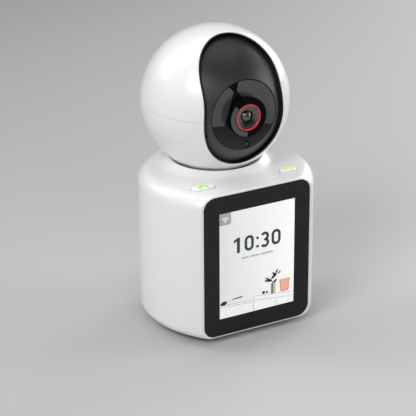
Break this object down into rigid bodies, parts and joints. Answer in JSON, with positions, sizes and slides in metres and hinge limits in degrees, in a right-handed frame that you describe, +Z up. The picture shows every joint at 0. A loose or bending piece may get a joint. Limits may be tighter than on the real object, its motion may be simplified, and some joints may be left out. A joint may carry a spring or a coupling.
{
  "type": "smart home hub",
  "caption": "Desktop smart home hub with an upright touch display, call keys on top and a panning ball head whose camera eye tilts behind an egg shaped window.",
  "frame": {"origin": "on the pan axis at the desk surface, in the plane of the rubber foot ring", "axes": "+Z up along the pan axis, -Y is the display side the user faces, +X to the right of a user's view of the display"},
  "size_m": [0.0888, 0.0814, 0.1528],
  "materials": {
    "white_shell": "satin white moulded plastic",
    "cover_grey": "fine matte grain",
    "black_gloss": "polished black",
    "black_matte": "matte black",
    "smoke_window": "smoked, polished",
    "front_glass": "printed cover glass",
    "lens_glass": "coated optical glass",
    "red_ring": "painted red",
    "lcd": "display module in its tin frame",
    "steel": "plated steel",
    "alloy": "cast alloy",
    "brass": "sintered bronze",
    "pcb": "solder mask",
    "chip": "epoxy",
    "ivory": "natural nylon",
    "rubber": "soft rubber",
    "green_sign": "inlaid green",
    "yellow_sign": "inlaid yellow",
    "sensor_green": "dark green filter",
    "paper_cone": "coated paper",
    "antenna": "flexible circuit"
  },
  "bodies": {
    "housing": {"body_shell": "white_shell", "bottom_cover": "cover_grey", "rubber_foot": "rubber", "cover_screws": "steel", "front_glass": "front_glass", "display_panel": "lcd", "display_bracket": "steel", "inner_screws": "steel", "button_board": "pcb", "tact_switches": "chip", "main_board": "pcb", "shield_can": "steel", "board_chips": "chip", "heat_sink": "alloy", "board_connectors": "ivory", "usb_port": "steel", "usb_tongue": "black_matte", "wifi_antenna": "antenna", "speaker_frame": "black_matte", "speaker_magnet": "steel", "speaker_cone": "paper_cone", "speaker_gasket": "rubber", "speaker_screws": "steel", "pan_deck": "cover_grey", "deck_screws": "steel", "pan_bush": "brass", "pan_motor": "steel"},
    "call_key": {"call_button": "white_shell", "call_icon": "green_sign"},
    "hangup_key": {"hangup_button": "white_shell", "hangup_icon": "yellow_sign"},
    "pan_pinion_body": {"pan_pinion": "steel"},
    "ball_head": {"ball_upper_shell": "white_shell", "ball_lower_shell": "white_shell", "window_bezel": "black_gloss", "ball_screws": "steel", "pan_gear": "ivory", "gear_screws": "steel", "pan_clip": "steel", "tilt_bracket_left": "alloy", "tilt_bracket_right": "alloy", "tilt_gear": "ivory", "bracket_screws": "steel"},
    "camera_eye": {"eye_shell": "black_gloss", "eye_face": "black_gloss", "led_window_left": "smoke_window", "led_window_right": "smoke_window", "lens_barrel": "black_gloss", "lens_cap": "black_gloss", "lens_ring": "red_ring", "lens_crescent": "smoke_window", "lens_front": "lens_glass", "camera_holder": "black_matte", "camera_board": "pcb", "led_board": "ivory", "light_sensor": "sensor_green", "microphone": "steel", "tilt_motor": "steel"},
    "tilt_pinion_body": {"tilt_pinion": "steel"}
  },
  "joints": [
    {"name": "pan", "type": "hinge", "parent": "housing", "child": "ball_head", "pos_m": [0, 0, 0.0635], "axis": [0, 0, 1], "range_deg": [-170, 170]},
    {"name": "tilt", "type": "hinge", "parent": "ball_head", "child": "camera_eye", "pos_m": [0, 0, 0.115], "axis": [1, 0, 0], "range_deg": [-40, 15]},
    {"name": "call_press", "type": "slide", "parent": "housing", "child": "call_key", "axis": [0, 0, -1], "range_m": [0, 0.0005], "stiffness_N_per_m": 1500},
    {"name": "hangup_press", "type": "slide", "parent": "housing", "child": "hangup_key", "axis": [0, 0, -1], "range_m": [0, 0.0005], "stiffness_N_per_m": 1500},
    {"name": "pan_pinion_spin", "type": "hinge", "parent": "housing", "child": "pan_pinion_body", "pos_m": [0, 0.0216, 0.066], "axis": [0, 0, 1], "range_deg": [-855, 855]},
    {"name": "tilt_pinion_spin", "type": "hinge", "parent": "camera_eye", "child": "tilt_pinion_body", "pos_m": [0.0273, 0.006, 0.12539], "axis": [1, 0, 0], "range_deg": [-125, 50]}
  ],
  "couplings": [
    {"joint": "pan_pinion_spin", "follows": "pan", "ratio": -5},
    {"joint": "tilt_pinion_spin", "follows": "tilt", "ratio": 3}
  ]
}
